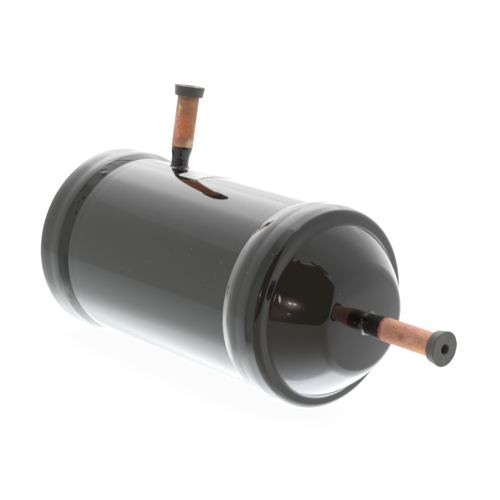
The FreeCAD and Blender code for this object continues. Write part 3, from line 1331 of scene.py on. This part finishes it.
@dataclass
class Label:
    """The blank film label over the crest of the shell."""

    film: bpy.types.Material
    near_angle: float = 16.5
    far_angle: float = 45.0
    corner: float = 1.2 * MM
    sharp_angle: float = 40.0
    columns: int = 24
    rows: int = 96

    def build(self) -> bpy.types.Object:
        """Builds the film as a closed thin sheet with rounded corners."""
        low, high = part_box("label")
        inner = max(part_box("shell")[1].z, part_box("shell")[1].y)
        outer = high.z
        edit = bmesh.new()
        layers = []
        span = math.radians(self.near_angle + self.far_angle)
        width = high.x - low.x
        for radius in (inner, outer):
            grid = []
            for i in range(self.rows + 1):
                part = i / self.rows
                angle = math.radians(self.near_angle) - span * part
                edge = min(part, 1 - part) * span * radius
                inset = 0.0
                if edge < self.corner:
                    inset = self.corner - math.sqrt(self.corner ** 2 - (self.corner - edge) ** 2)
                grid.append([edit.verts.new((low.x + inset + (width - 2 * inset) * j / self.columns,
                                             -radius * math.sin(angle), radius * math.cos(angle)))
                             for j in range(self.columns + 1)])
            layers.append(grid)
        under, top = layers
        for i in range(self.rows):
            for j in range(self.columns):
                edit.faces.new((top[i][j], top[i][j + 1], top[i + 1][j + 1], top[i + 1][j]))
                edit.faces.new((under[i][j], under[i + 1][j], under[i + 1][j + 1], under[i][j + 1]))
        for i in range(self.rows):
            for j, back in ((0, False), (self.columns, True)):
                ring = (top[i][j], top[i + 1][j], under[i + 1][j], under[i][j])
                edit.faces.new(tuple(reversed(ring)) if back else ring)
        for j in range(self.columns):
            for i, back in ((0, True), (self.rows, False)):
                ring = (top[i][j], top[i][j + 1], under[i][j + 1], under[i][j])
                edit.faces.new(tuple(reversed(ring)) if back else ring)
        bmesh.ops.recalc_face_normals(edit, faces=edit.faces)
        mesh = bpy.data.meshes.new("blank_label")
        edit.to_mesh(mesh)
        edit.free()
        mesh.shade_smooth()
        mesh.set_sharp_from_angle(angle=math.radians(self.sharp_angle))
        mesh.materials.append(self.film)
        piece = placed("blank_label", mesh)
        return adopt(piece, Slot.LABEL, "label")


@dataclass
class Nibs:
    """Dust nibs in the paint of the vessel."""

    dust: bpy.types.Material
    density: float = 1900.0
    smallest: float = 0.12 * MM
    largest: float = 0.30 * MM
    flatness: float = 0.5
    seed: int = 7

    def build(self, painted: Sequence[bpy.types.Object], inner_radius: float) -> bpy.types.Object:
        """Scatters the nibs over the outside of the painted pieces.

        Args:
            painted: The pieces that carry the nibs.
            inner_radius: Points nearer the axis than this, between the welds, are inside the shell.

        Returns:
            The finished piece.
        """
        edit = bmesh.new()
        for piece in painted:
            edit.from_mesh(piece.data)
        mesh = bpy.data.meshes.new("nib_carrier")
        edit.to_mesh(mesh)
        edit.free()
        outside = mesh.attributes.new("outside", "BOOLEAN", "FACE")
        flags = []
        for face in mesh.polygons:
            centre, normal = face.center, face.normal
            away = Vector((0.0, centre.y, centre.z))
            beyond = abs(centre.x) > inner_radius * 2
            flags.append(away.dot(normal) > 0.0 or (beyond and centre.x * normal.x > 0))
        outside.data.foreach_set("value", flags)
        rough = placed("nib_carrier", mesh)
        DustTree().apply(rough, {"Nibs per m2": self.density, "Smallest": self.smallest,
                                 "Largest": self.largest, "Flatness": self.flatness, "Seed": self.seed,
                                 "Material": self.dust})
        return adopt(finished_mesh(rough, "paint_nibs"), Slot.PAINT)


@dataclass
class Studio:
    """Camera, floor and the white tent around the vessel."""

    focal_length: float = 1568.04
    image_width: float = 500.0
    azimuth: float = 45.994
    elevation: float = 9.420
    roll: float = 8.040
    distance: float = 861.31 * MM
    shift_right: float = 19.72 * MM
    shift_up: float = 11.41 * MM
    sensor: float = 36.0
    floor_gap: float = 0.4 * MM
    floor_half: float = 6.0
    floor_glow: float = 0.885
    floor_white: tuple[float, float, float, float] = (0.88, 0.88, 0.88, 1.0)
    floor_strength: float = 1.08

    def build(self) -> None:
        """Builds the camera, the floor and the world."""
        self.place_camera()
        self.lay_floor()
        TentWorld().build()
        bpy.context.scene.view_settings.view_transform = "Standard"

    def place_camera(self) -> None:
        """Puts the camera at the photograph's place."""
        turn, rise, lean = (math.radians(angle) for angle in (self.azimuth, self.elevation, self.roll))
        back = Vector((math.sin(turn) * math.cos(rise), -math.cos(turn) * math.cos(rise), math.sin(rise)))
        level = (-back).cross(Vector((0, 0, 1))).normalized()
        upright = level.cross(-back)
        right = level * math.cos(lean) + upright * math.sin(lean)
        up = -level * math.sin(lean) + upright * math.cos(lean)
        data = bpy.data.cameras.new("camera")
        data.sensor_width = self.sensor
        data.lens = self.sensor * self.focal_length / self.image_width
        data.clip_start = 0.01
        data.clip_end = 50.0
        camera = placed("camera", data)
        place = back * self.distance + right * self.shift_right + up * self.shift_up
        camera.matrix_world = Matrix.Translation(place) @ Matrix((right, up, back)).transposed().to_4x4()
        bpy.context.scene.camera = camera

    def lay_floor(self) -> None:
        """Lays a plain white floor under the vessel."""
        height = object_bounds()[0].z - self.floor_gap
        half = self.floor_half
        mesh = bpy.data.meshes.new("floor")
        mesh.from_pydata([(-half, -half, height), (half, -half, height), (half, half, height),
                          (-half, half, height)], [], [(0, 1, 2, 3)])
        graph = MaterialGraph("white_floor")
        white = graph.node("ShaderNodeBsdfDiffuse", {}, {"Color": self.floor_white})
        glow = graph.node("ShaderNodeEmission", {},
                          {"Color": (1, 1, 1, 1), "Strength": self.floor_strength})
        seen = graph.signal("ShaderNodeLightPath", "Is Camera Ray")
        mesh.materials.append(graph.finish(graph.blend(seen * self.floor_glow, white, glow)))
        floor = placed("floor", mesh)
        floor.visible_glossy = False
        floor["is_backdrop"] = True


@dataclass(frozen=True)
class Lamp:
    """A small warm lamp seen through the opening of the tent, with its halo.

    Angles are in degrees.
    """

    azimuth: float
    elevation: float
    width: float
    strength: float
    height: float = 1.0
    colour: tuple[float, float, float] = (1.0, 0.82, 0.68)


# Angle, brightness and tint of one stop of a ramp
Stop = tuple[float, float, tuple[float, float, float]]

# Angles where a patch starts to show and where it shows in full
Edge = tuple[float, float]

NEUTRAL = (1.0, 1.0, 1.0)
WARM = (1.03, 1.0, 0.88)
SOFT = (0.995, 1.0, 0.955)
COOL = (0.98, 1.0, 1.05)
SLATE = (0.965, 1.0, 1.0)


@dataclass(frozen=True)
class Patch:
    """A plain patch of the tent, between edges given in degrees; a share below 1 lays it on thinly."""

    bright: float
    azimuths: tuple[Edge, ...]
    elevations: tuple[Edge, ...]
    share: float = 1.0


@dataclass(frozen=True)
class TentWorld:
    """Soft light tent: white to the camera, and to every other ray walls, floor and a dark opening.

    Azimuth runs from -Y towards +X and elevation above the horizon, in degrees, in a frame that leans
    about X as the vessel leans in the photograph.
    """

    lean: float = 10.73
    peak: float = 5.0
    walls: tuple[Stop, ...] = (
        (-180, 1.00, NEUTRAL), (-150, 1.36, NEUTRAL), (-125, 1.70, NEUTRAL), (-112, 1.93, NEUTRAL),
        (-104, 1.86, NEUTRAL), (-97, 1.47, NEUTRAL), (-90, 1.23, NEUTRAL), (-83, 1.06, NEUTRAL),
        (-79, 0.99, NEUTRAL), (-76, 0.89, NEUTRAL), (-70, 0.80, NEUTRAL), (-57, 0.72, SOFT),
        (-45, 0.77, SOFT), (-31, 0.62, SOFT), (-10, 0.58, SOFT), (78, 0.60, SOFT), (104, 0.66, NEUTRAL),
        (130, 0.72, NEUTRAL), (157, 0.92, NEUTRAL), (170, 0.84, NEUTRAL), (180, 1.00, NEUTRAL))
    near_floor: tuple[Stop, ...] = (
        (0, 0.45, WARM), (20, 0.44, WARM), (33, 0.51, WARM), (45, 0.67, WARM), (57, 0.98, NEUTRAL),
        (69, 1.42, NEUTRAL), (81, 2.05, COOL), (90, 3.0, COOL))
    far_floor: tuple[Stop, ...] = (
        (0, 0.80, SOFT), (11, 0.84, SOFT), (13, 0.91, SLATE), (24, 1.08, SLATE), (31, 1.15, SLATE),
        (34, 1.23, SLATE), (38, 1.56, SLATE), (40, 1.92, SLATE), (43, 2.15, SLATE), (57, 2.6, SLATE),
        (69, 3.3, COOL), (81, 4.1, COOL), (90, 3.9, COOL))
    opening: tuple[float, float, float] = (0.180, 0.142, 0.105)
    opening_left: float = 6.0
    opening_top: float = 61.0
    opening_bottom: float = -8.0
    opening_drop: float = 3.5
    opening_right: float = 96.0
    opening_right_slope: float = 0.45
    opening_right_least: float = 76.0
    rim_share: float = 0.35
    rim_bright: float = 1.4
    post_bright: float = 0.46
    skylight: Patch = Patch(2.16, ((-172, -160), (-100, -108)), ((17, 24), (78, 44)))
    patches: tuple[Patch, ...] = (
        Patch(1.95, ((-72, -88), (-114, -102)), ((-4, -10), (-38, -26))),
        Patch(1.22, ((-98, -116),), ((16, 6), (-22, -14))),
        Patch(1.6, ((-100, -86), (-50, -60)), ((34.2, 35.4), (60, 40)), share=0.12),
        Patch(0.90, ((112, 124), (178, 164)), ((-4, -9), (-44, -35))),
        Patch(0.75, ((126, 140), (174, 162)), ((20, 32),)),
        Patch(0.92, ((-90, -70), (0, -14)), ((64, 74),)))
    lamps: tuple[Lamp, ...] = (
        Lamp(31.2, 14.8, 0.6, 42.0), Lamp(33.9, 14.8, 0.55, 38.0), Lamp(32.2, 14.0, 4.2, 1.4),
        Lamp(25.3, 17.0, 0.40, 14.0, 6.5), Lamp(30.0, 2.6, 0.8, 2.2), Lamp(24.0, 2.0, 7.5, 0.24))

    def build(self) -> None:
        """Makes the world."""
        world = bpy.data.worlds.new("tent")
        world.use_nodes = True
        bpy.context.scene.world = world
        graph = Graph(world.node_tree)
        x, y, z = graph.split(graph.signal("ShaderNodeTexCoord", "Generated"))
        cosine, sine = math.cos(math.radians(self.lean)), math.sin(math.radians(self.lean))
        deep = y * cosine + z * sine
        up = z * cosine - y * sine
        azimuth = x.call("ARCTAN2", -deep) * (180 / math.pi)
        elevation = up.call("ARCSINE") * (180 / math.pi)
        light = self.pattern(graph, azimuth, elevation)
        tent = graph.node("ShaderNodeBackground", {}, {"Color": light, "Strength": self.peak})
        plain = graph.node("ShaderNodeBackground", {}, {"Color": (1, 1, 1, 1), "Strength": 1.0})
        seen = graph.signal("ShaderNodeLightPath", "Is Camera Ray")
        both = graph.blend(seen, tent, plain)
        graph.node("ShaderNodeOutputWorld", {}, {"Surface": both.outputs[0]})

    def ramp(self, graph: Graph, value: Signal, stops: Sequence[Stop], low: float, high: float) -> Signal:
        """Colour of a band of the tent by an angle.

        Args:
            graph: Tree of the world.
            value: The angle.
            stops: Angle, brightness and tint of each stop.
            low: Angle at the start of the ramp.
            high: Angle at its end.

        Returns:
            The colour, as a share of the peak.
        """
        colours = [((angle - low) / (high - low), [bright / self.peak * part for part in tint])
                   for angle, bright, tint in stops]
        return graph.signal("ShaderNodeValToRGB", 0, {"stops": colours},
                            {"Fac": (value - low) * (1 / (high - low))})

    def pattern(self, graph: Graph, azimuth: Signal, elevation: Signal) -> Signal:
        """Brightness of the tent by direction, as a share of the peak.

        Args:
            graph: Tree of the world.
            azimuth: Azimuth of the ray.
            elevation: Elevation of the ray.

        Returns:
            The colour.
        """
        bottom = self.opening_bottom - azimuth.ease(-10, -40) * self.opening_drop
        above = (elevation - bottom).ease(-1.3, 1.3)
        walls = self.ramp(graph, azimuth, self.walls, -180, 180)
        walls = self.lay(walls, self.skylight, azimuth, elevation)
        leaning = self.opening_right - elevation * self.opening_right_slope
        right_edge = leaning.call("MAXIMUM", self.opening_right_least)
        inside = (azimuth.ease(self.opening_left - 4, self.opening_left + 4)
                  * (azimuth - right_edge).ease(4, -4)
                  * elevation.ease(self.opening_top + 2, self.opening_top - 2))
        walls = inside.mix(walls, [part / self.peak for part in self.opening])
        # This square is a sixteenth at most
        rim = (inside * (1.0 - inside)) ** 2 * elevation.ease(40, 52)
        walls = self.cover(walls, rim * (16 * self.rim_share), self.rim_bright)
        near = self.ramp(graph, -elevation, self.near_floor, 0, 90)
        far = self.ramp(graph, -elevation, self.far_floor, 0, 90)
        # The near floor lies below the opening and the far one on both sides of it
        floor = (azimuth.ease(7, -37) + azimuth.ease(80, 150)).mix(near, far)
        light = above.mix(floor, walls)
        # A darker post of the tent, which widens to the left from 15 degrees up
        climb = (elevation - 15.0).call("MAXIMUM", 0.0).call("MINIMUM", 45.0) * 0.5
        post = ((azimuth + climb).ease(-44, -33) * azimuth.ease(-16, -25)
                * elevation.ease(-34, -26) * elevation.ease(68, 60))
        light = self.cover(light, post, self.post_bright, SOFT)
        for patch in self.patches:
            light = self.lay(light, patch, azimuth, elevation)
        for lamp in self.lamps:
            across = (azimuth - lamp.azimuth) * math.cos(math.radians(lamp.elevation))
            apart = across ** 2 + ((elevation - lamp.elevation) / lamp.height) ** 2
            glow = (apart * (-1 / lamp.width ** 2)).call("EXPONENT") * (lamp.strength / self.peak)
            colour = glow.mix((0, 0, 0), lamp.colour)
            light = graph.signal("ShaderNodeVectorMath", 0, {"operation": "ADD"}, {0: light, 1: colour})
        return light

    def lay(self, light: Signal, patch: Patch, azimuth: Signal, elevation: Signal) -> Signal:
        """The light with one of the tent's patches laid over it.

        Args:
            light: Colour under the patch.
            patch: The patch.
            azimuth: Azimuth of the ray.
            elevation: Elevation of the ray.

        Returns:
            The colour.
        """
        edges = [azimuth.ease(*edge) for edge in patch.azimuths]
        edges += [elevation.ease(*edge) for edge in patch.elevations]
        return self.cover(light, math.prod(edges) * patch.share, patch.bright)

    def cover(self, light: Signal, share: Signal, bright: float, tint: Sequence[float] = NEUTRAL) -> Signal:
        """The light with a plain brightness laid over it.

        Args:
            light: Colour under it.
            share: How much of it is seen, from 0 to 1.
            bright: The brightness.
            tint: Its tint.

        Returns:
            The colour.
        """
        return share.mix(light, [bright / self.peak * part for part in tint])


# How far the paint runs up each stub above its fillet, and an edge that leaves no paint at all
PAINT_REACH = 9.0 * MM
NO_PAINT = -1.0


def main() -> None:
    """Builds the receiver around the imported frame."""
    logging.basicConfig(level=logging.INFO, format="%(name)s: %(message)s")
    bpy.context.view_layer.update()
    enamel = Enamel().build()
    rubber = MouldedRubber().build()
    vessel = Vessel(enamel)
    painted = vessel.build()
    for port in Port:
        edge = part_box(f"{port.value}_braze")[1][2 if port is Port.OUTLET else 0] + PAINT_REACH
        finish = HeatTintedCopper()
        if port is Port.INLET:
            finish = HeatTintedCopper(ragged=1.6 * MM, scorched=0.85)
        copper = finish.build(f"{port.value}_copper", port, edge, FLAME_TINTS_AND_SHADOW[port])
        Stub(port, copper, enamel, rubber, **STUB_SIZES[port]).build()
    Label(LabelFilm().build()).build()
    Nibs(PaintDust().build()).build(painted, vessel.shell_radius)
    dip_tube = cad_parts["dip_tube"]
    dip_tube.data.materials.clear()
    dip_tube.data.materials.append(HeatTintedCopper().build("dip_copper", Port.OUTLET, NO_PAINT))
    Studio().build()


if __name__ == "__main__":
    main()
